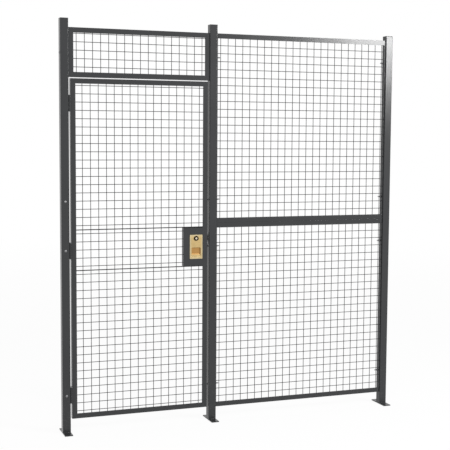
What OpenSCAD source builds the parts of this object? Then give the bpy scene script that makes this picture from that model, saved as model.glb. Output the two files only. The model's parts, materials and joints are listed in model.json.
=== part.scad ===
// Free-standing wire mesh partition with a hinged, lockable mesh door and a fixed two-panel bay.
// X runs along the wall, the front faces -Y, Z is up, and the floor is Z = 0.

/* [Bays] */
// Clear width of the doorway bay between its posts
door_bay = 914.4; // [800:0.1:1100]
// Clear width of the mesh panel bay between its posts
panel_bay = 1219.2; // [900:0.1:1600]
// Height of each of the two stacked mesh panels
panel_h = 1216; // [1100:1:1300]
// Open space under the mesh panels
sweep_gap = 85.7; // [60:0.1:150]
// Height of the transom above the door
transom_h = 301.6; // [260:0.1:420]

/* [Posts and feet] */
// Width of a square post
post_w = 50.8; // [48:0.1:64]
// Wall thickness of a post
post_wall = 1.9; // [1.5:0.1:2.5]
// Outer corner radius of a post
post_r = 4; // [3:0.5:8]
// Height of the left and middle posts above the top of the panels
post_rise = 54; // [20:1:120]
// Height of the right post above the top of the panels
right_post_rise = 30; // [20:1:120]
// Length of a foot plate from front to back
foot_len = 177.8; // [150:0.1:250]
// Thickness of a foot plate
foot_t = 6.35; // [5:0.05:12]
// Diameter of the floor anchor holes
anchor_d = 11.1; // [8:0.1:14]
// Distance between the two anchor holes of a foot
anchor_pitch = 127; // [105:1:130]
// Thickness of the visible plate of a post cap
cap_t = 3; // [2:0.5:6]
// Depth of the cap's plug in the post
cap_plug = 15; // [8:1:30]

/* [Frame bars] */
// Leg length of the angle bars
angle_leg = 31.75; // [30:0.05:34]
// Thickness of the angle bars
angle_t = 3.2; // [2.5:0.1:4]
// Thickness of the flat bars at the sides of the mesh panels
flat_t = 4.8; // [3:0.1:6]

/* [Mesh] */
// Distance between neighbouring wires
mesh_pitch = 50.8; // [40:0.1:60]
// Diameter of a mesh wire
wire_d = 4.1; // [2.5:0.1:4.9]
// Drop of the first row of wires below the top of the panels
panel_first_row = 25.4; // [15:0.1:40]
// Drop of the first row of wires below the top of the transom
transom_first_row = 35.6; // [33:0.1:60]
// Drop of the first row of wires below the top of the door
door_first_row = 42.7; // [33:0.1:60]
// Distance of the door's first upright wire from the hinge edge
door_first_column = 22.9; // [20:0.1:40]

/* [Door] */
// Gap between the door and the hinge post
hinge_gap = 11.4; // [10.5:0.1:14]
// Gap between the door and the latch post
latch_gap = 11.4; // [8:0.1:16]
// Gap between the door and the transom
door_top_gap = 6.35; // [3:0.05:12]
// Gap between the door and the floor
door_bottom_gap = 88.9; // [60:0.1:150]
// Diameter of the two stiffening rods
rod_d = 6.35; // [5:0.05:8]
// Distance between the two stiffening rods
rod_pitch = 254; // [235:1:300]

/* [Hinges] */
// Height of a hinge
hinge_h = 101.6; // [80:0.1:130]
// Distance of the outer hinges' centres from the ends of the door
hinge_end = 152.4; // [110:0.1:250]
// Thickness of a hinge leaf
leaf_t = 3; // [2.5:0.1:3.5]
// Depth of a hinge leaf from the pin
leaf_depth = 38; // [34:0.5:40]
// Diameter of a hinge pin
pin_d = 6.35; // [5:0.05:7]
// Distance between the screws of a hinge leaf
hinge_screw_pitch = 34; // [26:1:36]

/* [Lock] */
// Width of the lock box from the edge of the door
box_w = 162; // [150:0.1:200]
// Wall thickness of the lock box
box_wall = 2.5; // [2:0.1:4]
// Thickness of the lock box cover
cover_t = 2; // [1.5:0.1:2.5]
// Width of the face plate of the lock
plate_w = 85.7; // [84:0.1:96]
// Height of the face plate of the lock
plate_h = 155.6; // [150:0.1:190]
// Thickness of the face plate
plate_t = 1.5; // [1:0.1:2.5]
// Distance of the face plate's centre line from the edge of the door
backset = 76.2; // [74:0.1:95]
// Width of the recessed finger pull
pull_w = 60; // [50:1:66]
// Height of the recessed finger pull
pull_h = 62; // [50:1:66]
// Depth of the recessed finger pull
pull_depth = 9; // [7:0.5:10]
// Drop of the finger pull's centre below the middle of the plate
pull_drop = 36.5; // [34:0.5:42]
// Rise of the key cylinder above the middle of the plate
key_rise = 54.6; // [53:0.1:58]
// Diameter of the key cylinder's body
cylinder_d = 26; // [22:0.5:28]
// Diameter of the turning key plug
plug_d = 13; // [11:0.5:15]
// Length of the lock case from the edge bar of the door
case_len = 108; // [100:1:120]
// Height of the lock case
case_h = 150; // [142:1:180]
// Thickness of the lock case
case_t = 17; // [16:0.5:18]
// Wall thickness of the lock case
case_wall = 2; // [1.5:0.1:2]
// Thickness of the lock bolt
bolt_t = 10; // [8:0.5:11]
// Height of the lock bolt
bolt_h = 30; // [20:1:36]
// Length of the lock bolt
bolt_len = 55; // [50:1:60]
// Diameter of the inside turn knob
knob_d = 32; // [28:1:40]
// Diameter of the turn knob's spindle
spindle_d = 8; // [6:0.5:10]
// Height of the strike plate on the latch post
strike_h = 76; // [70:1:84]
// Width of the strike plate
strike_w = 28; // [24:1:32]
// Thickness of the strike plate
strike_t = 2; // [1.5:0.1:2.5]

/* [Fasteners] */
// Distance of the frame bolts from the ends of the panels
bolt_end = 152.4; // [120:0.1:180]
// Diameter of the frame bolts
frame_bolt_d = 7.9; // [6:0.1:9]
// Diameter of the frame bolts' round heads
frame_head_d = 17.5; // [15:0.5:20]
// Height of the frame bolts' round heads
frame_head_h = 4.2; // [3:0.1:5]
// Width of a nut across its flats
nut_w = 12.7; // [12:0.1:13.5]
// Height of a nut
nut_h = 6.7; // [5:0.1:7]
// Length of bolt that stands out of a nut
bolt_tail = 15; // [2:0.5:18]
// Diameter of the countersunk screws
screw_d = 5; // [4:0.1:5.5]

/* [Hidden] */
$fn = 48;

// Clearances
running = 0.05;        // pin, plug or spindle in its bore, on the radius
hole_clear = 0.4;      // bolt or screw in its hole, on the radius
cap_clear = 0.2;       // cap plug in the post
barrel_clear = 0.3;    // hinge barrel to post and door
knuckle_gap = 0.4;     // between neighbouring knuckles
leaf_clear = 0.6;      // hinge leaf to the other leaf's knuckles
bolt_clear = 1;        // lock bolt in the strike plate and the edge bar
slot_margin = 1.5;     // post slot beyond the strike slot
nut_clear = 0.5;       // bolt head or nut to the mesh in front of it
pull_gap = 1;          // finger pull to the lock case
key_clear = 0.1;       // cylinder body in its plates
cover_clear = 1;       // turn knob to the cover, and spindle hole
cut = 1;               // overrun of a cutting shape

// Shares and small fixed shapes
knuckles = 5;
pull_wall = 1.2;
pull_floor = 2 / 3;     // share of the pull's height before its floor slopes out
collar_h = 4;
collar_lip = 3;
keyway_w = 1.6;
keyway_h = 8;
keyway_depth = 6;
cam_len = 11;
cam_t = 3;
cam_w = 6.5;
knob_t = 5;
grip_t = 8;
grip_h = 11;
boss = 12;
pin_head_h = 2.5;
screw_head_ratio = 1.9;
screw_slot = 1;
plug_head_d = 16;
plug_head_h = 2.6;
plug_shank = 8;
wire_sides = 24;

// Levels
panel_z0 = sweep_gap;
panel_z1 = panel_z0 + panel_h;
panel_z2 = panel_z1 + panel_h;
post_top = panel_z2 + post_rise;
right_post_top = panel_z2 + right_post_rise;
transom_z0 = panel_z2 - transom_h;
door_z0 = door_bottom_gap;
door_z1 = transom_z0 - door_top_gap;
door_mid = (door_z0 + door_z1) / 2;

// Places along the wall
wall_w = door_bay + panel_bay + 3 * post_w;
left_x = -wall_w / 2;
bay_x0 = left_x + post_w;
bay_x1 = bay_x0 + door_bay;
panel_x0 = bay_x1 + post_w;
panel_x1 = panel_x0 + panel_bay;
door_x0 = bay_x0 + hinge_gap;
door_x1 = bay_x1 - latch_gap;
left_post_x = left_x + post_w / 2;
middle_post_x = bay_x1 + post_w / 2;
right_post_x = panel_x1 + post_w / 2;

// Depths: the angle bars are centred on the posts, and the wires lie in two layers behind their faces
front_y = -angle_leg / 2;
back_y = angle_leg / 2;
upright_y = front_y + angle_t + wire_d / 2;
row_y = upright_y + wire_d;
mesh_back = row_y + wire_d / 2;
rod_y = mesh_back + rod_d / 2;
frame_bolt_y = mesh_back + nut_clear + max(frame_head_d, nut_w / cos(30)) / 2;
frame_bolt_zs = [for (z = [panel_z0, panel_z1]) each [z + bolt_end, z + panel_h - bolt_end]];
// The left post's front has a spare bolt hole at each of these levels below the transom
plug_zs = [for (z = frame_bolt_zs) if (z < transom_z0) z];

// Hinges
barrel_d = hinge_gap - 2 * barrel_clear;
pin_x = bay_x0 + hinge_gap / 2;
pin_y = -post_w / 2;
leaf_y0 = pin_y + barrel_d / 2 + leaf_clear;
leaf_y1 = pin_y + leaf_depth;
hinge_screw_y = (mesh_back + leaf_y1) / 2;
knuckle_h = (hinge_h - (knuckles - 1) * knuckle_gap) / knuckles;
top_hinge_z = door_z1 - hinge_end;
bottom_hinge_z = door_z0 + hinge_end;

// Lock
box_x0 = door_x1 - box_w;
box_x1 = door_x1 - angle_t;
// The lock's middle is level with the frame bolts under the joint of the two panels
lock_mid = panel_z1 - bolt_end;
box_z0 = lock_mid - (rod_pitch - rod_d) / 2;
box_z1 = lock_mid + (rod_pitch - rod_d) / 2;
cover_y = back_y - cover_t;
plate_x = door_x1 - backset;
plate_y = front_y - plate_t;
pull_z = lock_mid - pull_drop;
pull_y = plate_y + pull_depth;
case_y0 = pull_y + pull_wall + pull_gap;
case_y1 = case_y0 + case_t;
lid_y = case_y1 - case_wall;
key_z = lock_mid + key_rise;
case_z1 = key_z + bolt_h / 2 + 2 * boss;
case_z0 = case_z1 - case_h;
bolt_y = (case_y0 + case_y1) / 2;
screw_head_d = screw_d * screw_head_ratio;
screw_head_h = (screw_head_d - screw_d) / 2;

charcoal = [0.29, 0.29, 0.30];
zinc = [0.68, 0.69, 0.70];
brass = [0.83, 0.70, 0.45];
black = [0.10, 0.10, 0.11];

// ---- Shared shapes ----

// A flat rectangle with round corners
module round_square(w, d, r) {
    square([w - 2 * r, d], center = true);
    square([w, d - 2 * r], center = true);
    for (x = [-1, 1], y = [-1, 1])
        translate([x * (w / 2 - r), y * (d / 2 - r)]) circle(r);
}

// A box between two opposite corners
module block(low, high) {
    translate(low) cube(high - low);
}

// A round bar or hole along X, from x0 to x1
module round_x(d, x0, x1, y, z) {
    translate([x0, y, z]) rotate([0, 90, 0]) cylinder(d = d, h = x1 - x0);
}

// A round bar or hole along Y, from y0 to y1
module round_y(d, x, y0, y1, z) {
    translate([x, y0, z]) rotate([-90, 0, 0]) cylinder(d = d, h = y1 - y0);
}

// A low dome that stands on Z = 0
module dome(d, h) {
    ball_r = (d * d / 4 + h * h) / (2 * h);
    intersection() {
        translate([0, 0, h - ball_r]) sphere(ball_r);
        cylinder(d = d, h = h + cut);
    }
}

// A countersunk screw with its flat head at Z = 0 and its shank down to -length
module screw(length) {
    difference() {
        union() {
            translate([0, 0, -length]) cylinder(d = screw_d, h = length);
            translate([0, 0, -screw_head_h]) cylinder(d1 = screw_d, d2 = screw_head_d, h = screw_head_h);
        }
        translate([-screw_head_d, -screw_slot / 2, -screw_slot])
            cube([2 * screw_head_d, screw_slot, 2 * screw_slot]);
    }
}

// The hole that a countersunk screw seats in
module screw_hole(length) {
    translate([0, 0, -length - cut]) cylinder(d = screw_d + 2 * hole_clear, h = length + 2 * cut);
    translate([0, 0, -screw_head_h]) cylinder(d1 = screw_d, d2 = screw_head_d, h = screw_head_h);
    cylinder(d = screw_head_d, h = cut);
}

// ---- Posts ----

module foot_plate(x) {
    color(charcoal) difference() {
        translate([x - post_w / 2, -foot_len / 2, 0]) cube([post_w, foot_len, foot_t]);
        for (side = [-1, 1])
            translate([x, side * anchor_pitch / 2, -cut]) cylinder(d = anchor_d, h = foot_t + 2 * cut);
    }
}

module post(x, top = post_top) {
    tube_h = top - cap_t - foot_t;
    inner_w = post_w - 2 * post_wall;
    color(charcoal) difference() {
        translate([x, 0, foot_t]) linear_extrude(tube_h) difference() {
            round_square(post_w, post_w, post_r);
            round_square(inner_w, inner_w, post_r - post_wall);
        }
        children();
    }
}

module post_cap(x, top = post_top) {
    plug_w = post_w - 2 * (post_wall + cap_clear);
    color(black) translate([x, 0, top - cap_t]) {
        linear_extrude(cap_t) round_square(post_w, post_w, post_r);
        translate([0, 0, -cap_plug]) linear_extrude(cap_plug + cut)
            round_square(plug_w, plug_w, post_r - post_wall - cap_clear);
    }
}

// The holes for the frame bolts through a post
module bolt_holes(x, zs) {
    for (z = zs)
        round_x(frame_bolt_d + 2 * hole_clear, x - post_w, x + post_w, frame_bolt_y, z);
}

// ---- Frame bars ----

// One mitred angle bar along +X from the origin: outer edge at Z = 0, face leg in front
module mitred_bar(length) {
    intersection() {
        angle_bar(length);
        rotate([90, 0, 0]) linear_extrude(2 * angle_leg, center = true)
            polygon([[0, 0], [length, 0], [length - angle_leg, angle_leg], [angle_leg, angle_leg]]);
    }
}

// One square-ended angle bar along +X from the origin
module angle_bar(length) {
    translate([0, front_y, 0]) cube([length, angle_t, angle_leg]);
    translate([0, front_y, 0]) cube([length, angle_leg, angle_t]);
}

// The four sides of a mitred frame that fills the box x0..x1, z0..z1
module frame_bottom(x0, x1, z0) {
    translate([x0, 0, z0]) mitred_bar(x1 - x0);
}

module frame_top(x0, x1, z1) {
    translate([x1, 0, z1]) rotate([0, 180, 0]) mitred_bar(x1 - x0);
}

module frame_left(x0, z0, z1) {
    translate([x0, 0, z1]) rotate([0, 90, 0]) mitred_bar(z1 - z0);
}

module frame_right(x1, z0, z1) {
    translate([x1, 0, z0]) rotate([0, -90, 0]) mitred_bar(z1 - z0);
}

// ---- Wire mesh ----

module upright_wire(x, z0, z1) {
    translate([x, upright_y, z0]) cylinder(d = wire_d, h = z1 - z0, $fn = wire_sides);
}

module row_wire(z, x0, x1) {
    translate([x0, row_y, z]) rotate([0, 90, 0]) cylinder(d = wire_d, h = x1 - x0, $fn = wire_sides);
}

// Upright wires spread evenly about the middle of a frame, all at least margin inside its sides
function even_columns(x0, x1, margin) =
    let (last = floor((x1 - x0 - 2 * margin) / mesh_pitch), start = (x0 + x1 - last * mesh_pitch) / 2)
    [for (k = [0 : last]) start + k * mesh_pitch];

// Rows of wires from a first height down to a lowest one
function rows_down(first, lowest) = [for (z = [first : -mesh_pitch : lowest]) z];

module wire_mesh(columns, rows, x0, x1, z0, z1) {
    color(charcoal) {
        for (x = columns) upright_wire(x, z0, z1);
        for (z = rows) row_wire(z, x0, x1);
    }
}

// ---- Transom ----

module transom_bolt_hole() {
    round_x(frame_bolt_d + 2 * hole_clear, bay_x0 - cut, bay_x1 + cut, frame_bolt_y, panel_z2 - bolt_end);
}

module transom_top_rail() {
    color(charcoal) frame_top(bay_x0, bay_x1, panel_z2);
}

module transom_bottom_rail() {
    color(charcoal) frame_bottom(bay_x0, bay_x1, transom_z0);
}

module transom_left_stile() {
    color(charcoal) difference() {
        frame_left(bay_x0, transom_z0, panel_z2);
        transom_bolt_hole();
    }
}

module transom_right_stile() {
    color(charcoal) difference() {
        frame_right(bay_x1, transom_z0, panel_z2);
        transom_bolt_hole();
    }
}

module transom_mesh() {
    wire_mesh(
        even_columns(bay_x0, bay_x1, angle_leg + wire_d),
        rows_down(panel_z2 - transom_first_row, transom_z0 + angle_t + wire_d),
        bay_x0 + angle_t, bay_x1 - angle_t, transom_z0 + angle_t, panel_z2 - angle_t
    );
}

// ---- Mesh panels ----

module panel_top_rail(z1) {
    color(charcoal) translate([panel_x1 - flat_t, 0, z1])
        rotate([0, 180, 0]) angle_bar(panel_bay - 2 * flat_t);
}

module panel_bottom_rail(z0) {
    color(charcoal) translate([panel_x0 + flat_t, 0, z0]) angle_bar(panel_bay - 2 * flat_t);
}

module panel_stile(x, z0) {
    color(charcoal) difference() {
        translate([x, front_y, z0]) cube([flat_t, angle_leg, panel_h]);
        for (z = [z0 + bolt_end, z0 + panel_h - bolt_end])
            round_x(frame_bolt_d + 2 * hole_clear, x - cut, x + flat_t + cut, frame_bolt_y, z);
    }
}

// The rows run on at one pitch from the upper panel to the lower one
module panel_mesh(z0) {
    low = z0 + angle_t + wire_d;
    high = z0 + panel_h - angle_t - wire_d;
    wire_mesh(
        even_columns(panel_x0, panel_x1, flat_t + nut_h + wire_d),
        [for (z = rows_down(panel_z2 - panel_first_row, low)) if (z < high) z],
        panel_x0 + flat_t, panel_x1 - flat_t, z0 + angle_t, z0 + panel_h - angle_t
    );
}

// ---- Frame bolts ----

// A round-headed bolt from the face at x0 through to a nut that seats on the face at x1
module frame_bolt(x0, x1, z) {
    way = sign(x1 - x0);
    translate([x0, frame_bolt_y, z]) rotate([0, way * 90, 0]) {
        cylinder(d = frame_bolt_d, h = abs(x1 - x0) + nut_h + bolt_tail);
        rotate([180, 0, 0]) dome(frame_head_d, frame_head_h);
    }
}

module frame_nut(x1, z, way) {
    translate([x1, frame_bolt_y, z]) rotate([0, way * 90, 0]) difference() {
        rotate([0, 0, 30]) cylinder(d = nut_w / cos(30), h = nut_h, $fn = 6);
        translate([0, 0, -cut]) cylinder(d = frame_bolt_d + 2 * running, h = nut_h + 2 * cut);
    }
}

module frame_bolts() {
    top_z = panel_z2 - bolt_end;
    color(zinc) {
        frame_bolt(left_x, bay_x0 + angle_t, top_z);
        for (z = frame_bolt_zs) {
            frame_bolt(z < transom_z0 ? bay_x1 : bay_x1 - angle_t, panel_x0 + flat_t, z);
            frame_bolt(-left_x, panel_x1 - flat_t, z);
        }
    }
}

module frame_nuts() {
    color(zinc) {
        frame_nut(bay_x0 + angle_t, panel_z2 - bolt_end, 1);
        for (z = frame_bolt_zs) {
            frame_nut(panel_x0 + flat_t, z, 1);
            frame_nut(panel_x1 - flat_t, z, -1);
        }
    }
}

// Round plugs in the spare bolt holes of the left post's front
module left_post_hole_plugs() {
    color(zinc) for (z = plug_zs)
        translate([left_post_x, -post_w / 2, z]) rotate([90, 0, 0]) {
            dome(plug_head_d, plug_head_h);
            translate([0, 0, -plug_shank]) cylinder(d = frame_bolt_d, h = plug_shank);
        }
}

// ---- The posts with their holes ----

module left_post() {
    post(left_post_x) {
        bolt_holes(left_post_x, [panel_z2 - bolt_end]);
        for (z = plug_zs)
            round_y(frame_bolt_d + 2 * running, left_post_x, -post_w, 0, z);
        hinge_screw_places()
            round_x(screw_d + 2 * hole_clear, bay_x0 - post_r, bay_x0 + cut, hinge_screw_y, 0);
    }
}

module middle_post() {
    slot_w = bolt_t + 2 * (bolt_clear + slot_margin);
    slot_h = bolt_h + 2 * (bolt_clear + slot_margin);
    post(middle_post_x) {
        bolt_holes(middle_post_x, frame_bolt_zs);
        translate([bay_x1, bolt_y, key_z]) cube([2 * post_r, slot_w, slot_h], center = true);
        strike_screw_places() screw_hole(strike_t + 2 * post_wall);
    }
}

module right_post() {
    post(right_post_x, right_post_top) bolt_holes(right_post_x, frame_bolt_zs);
}

// ---- Door leaf ----

module door_top_rail() {
    color(charcoal) frame_top(door_x0, door_x1, door_z1);
}

module door_bottom_rail() {
    color(charcoal) frame_bottom(door_x0, door_x1, door_z0);
}

module door_hinge_stile() {
    color(charcoal) difference() {
        frame_left(door_x0, door_z0, door_z1);
        hinge_screw_places()
            round_x(screw_d + 2 * hole_clear, door_x0 - cut, door_x0 + angle_t + cut, hinge_screw_y, 0);
    }
}

module door_lock_stile() {
    color(charcoal) difference() {
        frame_right(door_x1, door_z0, door_z1);
        translate([door_x1, bolt_y, key_z])
            cube([3 * angle_t, bolt_t + 2 * bolt_clear, bolt_h + 2 * bolt_clear], center = true);
        case_screw_places() screw_hole(angle_t);
    }
}

// Wires that would cross the lock box end at its walls
module door_mesh() {
    columns = [for (x = [door_x0 + door_first_column : mesh_pitch : door_x1 - angle_t - 2 * wire_d]) x];
    rows = rows_down(door_z1 - door_first_row, door_z0 + angle_t + wire_d);
    low = door_z0 + angle_t;
    high = door_z1 - angle_t;
    left = door_x0 + angle_t;
    right = door_x1 - angle_t;
    color(charcoal) {
        for (x = columns)
            if (x > box_x0 - wire_d) {
                upright_wire(x, low, box_z0);
                upright_wire(x, box_z1, high);
            } else {
                upright_wire(x, low, high);
            }
        for (z = rows)
            row_wire(z, left, z > box_z0 - wire_d && z < box_z1 + wire_d ? box_x0 : right);
    }
}

module door_rod(z) {
    color(charcoal) round_x(rod_d, door_x0 + angle_t, door_x1 - angle_t, rod_y, z);
}

// ---- Hinges ----

module hinge_screw_places() {
    for (hinge_z = [bottom_hinge_z, door_mid, top_hinge_z], k = [-1 : 1])
        translate([0, 0, hinge_z + k * hinge_screw_pitch]) children();
}

// The knuckles of one leaf, every second one from the first, with the webs that join them to the leaf
module knuckle_row(first, leaf_x) {
    for (k = [first : 2 : knuckles - 1])
        translate([0, 0, -hinge_h / 2 + k * (knuckle_h + knuckle_gap)]) {
            translate([pin_x, pin_y, 0]) cylinder(d = barrel_d, h = knuckle_h);
            block([leaf_x, pin_y, 0], [leaf_x + leaf_t, leaf_y0 + cut, knuckle_h]);
        }
}

// A leaf at one height; the countersinks of its screws face the way given
module hinge_leaf(hinge_z, first, leaf_x, face_x, way) {
    color(charcoal) difference() {
        translate([0, 0, hinge_z]) {
            knuckle_row(first, leaf_x);
            block([leaf_x, leaf_y0, -hinge_h / 2], [leaf_x + leaf_t, leaf_y1, hinge_h / 2]);
        }
        translate([pin_x, pin_y, hinge_z - hinge_h]) cylinder(d = pin_d + 2 * running, h = 2 * hinge_h);
        for (k = [-1 : 1])
            translate([face_x, hinge_screw_y, hinge_z + k * hinge_screw_pitch])
                rotate([0, way * 90, 0]) screw_hole(leaf_t);
    }
}

module hinge_post_leaf(hinge_z) {
    hinge_leaf(hinge_z, 0, bay_x0, bay_x0 + leaf_t, 1);
}

module hinge_door_leaf(hinge_z) {
    hinge_leaf(hinge_z, 1, door_x0 - leaf_t, door_x0 - leaf_t, -1);
}

module hinge_pin(hinge_z) {
    color(zinc) translate([pin_x, pin_y, hinge_z]) {
        cylinder(d = pin_d, h = hinge_h, center = true);
        for (side = [0, 180])
            rotate([side, 0, 0]) translate([0, 0, hinge_h / 2]) dome(barrel_d, pin_head_h);
    }
}

module hinge_post_screws() {
    color(zinc) hinge_screw_places()
        translate([bay_x0 + leaf_t, hinge_screw_y, 0]) rotate([0, 90, 0]) screw(leaf_t + 2 * post_wall);
}

module hinge_door_screws() {
    color(zinc) hinge_screw_places()
        translate([door_x0 - leaf_t, hinge_screw_y, 0]) rotate([0, -90, 0]) screw(leaf_t + 2 * angle_t);
}

// ---- Lock ----

module cover_screw_places() {
    for (x = [box_x0 + boss / 2, box_x1 - boss / 2], z = [box_z0 + boss / 2, box_z1 - boss / 2])
        translate([x, back_y, z]) rotate([-90, 0, 0]) children();
}

module case_screw_places() {
    for (side = [-1, 1])
        translate([door_x1, bolt_y, (case_z0 + case_z1) / 2 + side * (case_h / 2 - boss)])
            rotate([0, 90, 0]) children();
}

module strike_screw_places() {
    for (side = [-1, 1])
        translate([bay_x1 - strike_t, bolt_y, key_z + side * (strike_h - boss) / 2])
            rotate([0, -90, 0]) children();
}

// A folded box behind and beside the lock stile's face leg, open at the back
module lock_box() {
    face_x1 = door_x1 - angle_leg;
    cup_grow = pull_wall + key_clear;
    color(charcoal) difference() {
        union() {
            difference() {
                union() {
                    block([box_x0, front_y, box_z0], [face_x1, cover_y, box_z1]);
                    block([box_x0, front_y + angle_t, box_z0], [box_x1, cover_y, box_z1]);
                }
                block(
                    [box_x0 + box_wall, front_y + angle_t, box_z0 + box_wall],
                    [box_x1 + cut, cover_y + cut, box_z1 - box_wall]
                );
            }
            for (x = [box_x0, box_x1 - boss], z = [box_z0, box_z1 - boss])
                block([x, cover_y - boss, z], [x + boss, cover_y, z + boss]);
        }
        round_y(cylinder_d + 2 * key_clear, plate_x, front_y - cut, case_y0, key_z);
        translate([plate_x, front_y, pull_z])
            cube([pull_w + 2 * cup_grow, 3 * angle_t, pull_h + 2 * cup_grow], center = true);
        cover_screw_places() screw_hole(cover_t + boss);
    }
}

module lock_box_cover() {
    color(charcoal) difference() {
        block([box_x0, cover_y, box_z0], [box_x1, back_y, box_z1]);
        round_y(spindle_d + 2 * cover_clear, plate_x, cover_y - cut, back_y + cut, key_z);
        cover_screw_places() screw_hole(cover_t);
    }
}

module cover_screws() {
    color(zinc) cover_screw_places() screw(boss - cover_t);
}

// The finger pull is a cup with a floor that slopes out towards its lower edge
module pull_profile(grow) {
    half = pull_h / 2 + grow;
    turn = pull_h * (1 / 2 - pull_floor);
    polygon([[0, half], [pull_depth + grow, half], [pull_depth + grow, turn], [0, -half]]);
}

module pull_shape(width, grow) {
    translate([plate_x - width / 2, plate_y, pull_z])
        rotate([90, 0, 90]) linear_extrude(width) pull_profile(grow);
}

module lock_face_plate() {
    color(brass) difference() {
        union() {
            translate([plate_x - plate_w / 2, plate_y, lock_mid - plate_h / 2])
                cube([plate_w, plate_t, plate_h]);
            pull_shape(pull_w + 2 * pull_wall, pull_wall);
        }
        translate([0, -running, 0]) pull_shape(pull_w, 0);
        round_y(cylinder_d + 2 * key_clear, plate_x, plate_y - cut, front_y + cut, key_z);
    }
}

module lock_case() {
    case_x0 = box_x1 - case_len;
    color(zinc) difference() {
        block([case_x0, case_y0, case_z0], [box_x1, lid_y, case_z1]);
        block(
            [case_x0 + case_wall, case_y0 + case_wall, case_z0 + case_wall],
            [box_x1 - case_wall, lid_y + cut, case_z1 - case_wall]
        );
        round_y(cylinder_d + 2 * key_clear, plate_x, case_y0 - cut, case_y0 + case_wall + cut, key_z);
        translate([box_x1, bolt_y, key_z])
            cube([3 * case_wall, bolt_t + 2 * bolt_clear, bolt_h + 2 * bolt_clear], center = true);
        case_screw_places() cylinder(d = screw_d + 2 * hole_clear, h = 4 * angle_t, center = true);
    }
}

module lock_case_lid() {
    color(zinc) difference() {
        block([box_x1 - case_len, lid_y, case_z0], [box_x1, case_y1, case_z1]);
        round_y(spindle_d + 2 * running, plate_x, lid_y - cut, case_y1 + cut, key_z);
    }
}

module case_screws() {
    color(zinc) case_screw_places() screw(angle_t + 2 * case_wall);
}

// The fixed round body that the key plug turns in, with a wider collar on the face plate
module key_cylinder() {
    color(zinc) difference() {
        union() {
            round_y(cylinder_d, plate_x, plate_y - cut, case_y0 + case_wall, key_z);
            round_y(cylinder_d + 2 * collar_lip, plate_x, plate_y - collar_h, plate_y, key_z);
        }
        round_y(plug_d + 2 * running, plate_x, plate_y - 2 * collar_h, case_y0 + case_t, key_z);
    }
}

module key_plug() {
    cam_y = case_y0 + case_wall + barrel_clear;
    color(brass) difference() {
        union() {
            round_y(plug_d, plate_x, plate_y - collar_h, cam_y + cam_t, key_z);
            translate([plate_x - cam_w / 2, cam_y, key_z]) cube([cam_w, cam_t, cam_len]);
        }
        translate([plate_x, plate_y - collar_h, key_z])
            cube([keyway_w, 2 * keyway_depth, keyway_h], center = true);
    }
}

module lock_bolt() {
    color(brass) translate([door_x1 - bolt_len, bolt_y - bolt_t / 2, key_z - bolt_h / 2])
        cube([bolt_len, bolt_t, bolt_h]);
}

// The inside knob, its spindle and the hub that works the bolt
module turn_knob() {
    hub_y = lid_y - barrel_clear - cam_t;
    knob_y = back_y + cover_clear;
    color(zinc) {
        round_y(spindle_d, plate_x, hub_y, knob_y + cut, key_z);
        round_y(plug_d, plate_x, hub_y, hub_y + cam_t, key_z);
        round_y(knob_d, plate_x, knob_y, knob_y + knob_t, key_z);
        block(
            [plate_x - grip_t / 2, knob_y + knob_t - cut, key_z - knob_d / 2 + cut],
            [plate_x + grip_t / 2, knob_y + knob_t + grip_h, key_z + knob_d / 2 - cut]
        );
    }
}

module strike_plate() {
    color(zinc) difference() {
        translate([bay_x1 - strike_t, bolt_y - strike_w / 2, key_z - strike_h / 2])
            cube([strike_t, strike_w, strike_h]);
        translate([bay_x1, bolt_y, key_z])
            cube([3 * strike_t, bolt_t + 2 * bolt_clear, bolt_h + 2 * bolt_clear], center = true);
        strike_screw_places() screw_hole(strike_t);
    }
}

module strike_screws() {
    color(zinc) strike_screw_places() screw(strike_t + 2 * post_wall);
}

// ---- Assembly ----

left_post();
middle_post();
right_post();
foot_plate(left_post_x);  // left_foot_plate
foot_plate(middle_post_x);  // middle_foot_plate
foot_plate(right_post_x);  // right_foot_plate
post_cap(left_post_x);  // left_post_cap
post_cap(middle_post_x);  // middle_post_cap
post_cap(right_post_x, right_post_top);  // right_post_cap
left_post_hole_plugs();
frame_bolts();
frame_nuts();
transom_top_rail();
transom_bottom_rail();
transom_left_stile();
transom_right_stile();
transom_mesh();
panel_top_rail(panel_z2);  // upper_panel_top_rail
panel_bottom_rail(panel_z1);  // upper_panel_bottom_rail
panel_stile(panel_x0, panel_z1);  // upper_panel_left_stile
panel_stile(panel_x1 - flat_t, panel_z1);  // upper_panel_right_stile
panel_mesh(panel_z1);  // upper_panel_mesh
panel_top_rail(panel_z1);  // lower_panel_top_rail
panel_bottom_rail(panel_z0);  // lower_panel_bottom_rail
panel_stile(panel_x0, panel_z0);  // lower_panel_left_stile
panel_stile(panel_x1 - flat_t, panel_z0);  // lower_panel_right_stile
panel_mesh(panel_z0);  // lower_panel_mesh
door_top_rail();
door_bottom_rail();
door_hinge_stile();
door_lock_stile();
door_mesh();
door_rod(lock_mid + rod_pitch / 2);  // door_upper_rod
door_rod(lock_mid - rod_pitch / 2);  // door_lower_rod
hinge_post_leaf(top_hinge_z);  // top_hinge_post_leaf
hinge_post_leaf(door_mid);  // middle_hinge_post_leaf
hinge_post_leaf(bottom_hinge_z);  // bottom_hinge_post_leaf
hinge_door_leaf(top_hinge_z);  // top_hinge_door_leaf
hinge_door_leaf(door_mid);  // middle_hinge_door_leaf
hinge_door_leaf(bottom_hinge_z);  // bottom_hinge_door_leaf
hinge_pin(top_hinge_z);  // top_hinge_pin
hinge_pin(door_mid);  // middle_hinge_pin
hinge_pin(bottom_hinge_z);  // bottom_hinge_pin
hinge_post_screws();
hinge_door_screws();
lock_box();
lock_box_cover();
cover_screws();
lock_face_plate();
lock_case();
lock_case_lid();
case_screws();
key_cylinder();
key_plug();
lock_bolt();
turn_knob();
strike_plate();
strike_screws();
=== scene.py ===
import json
import math

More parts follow.
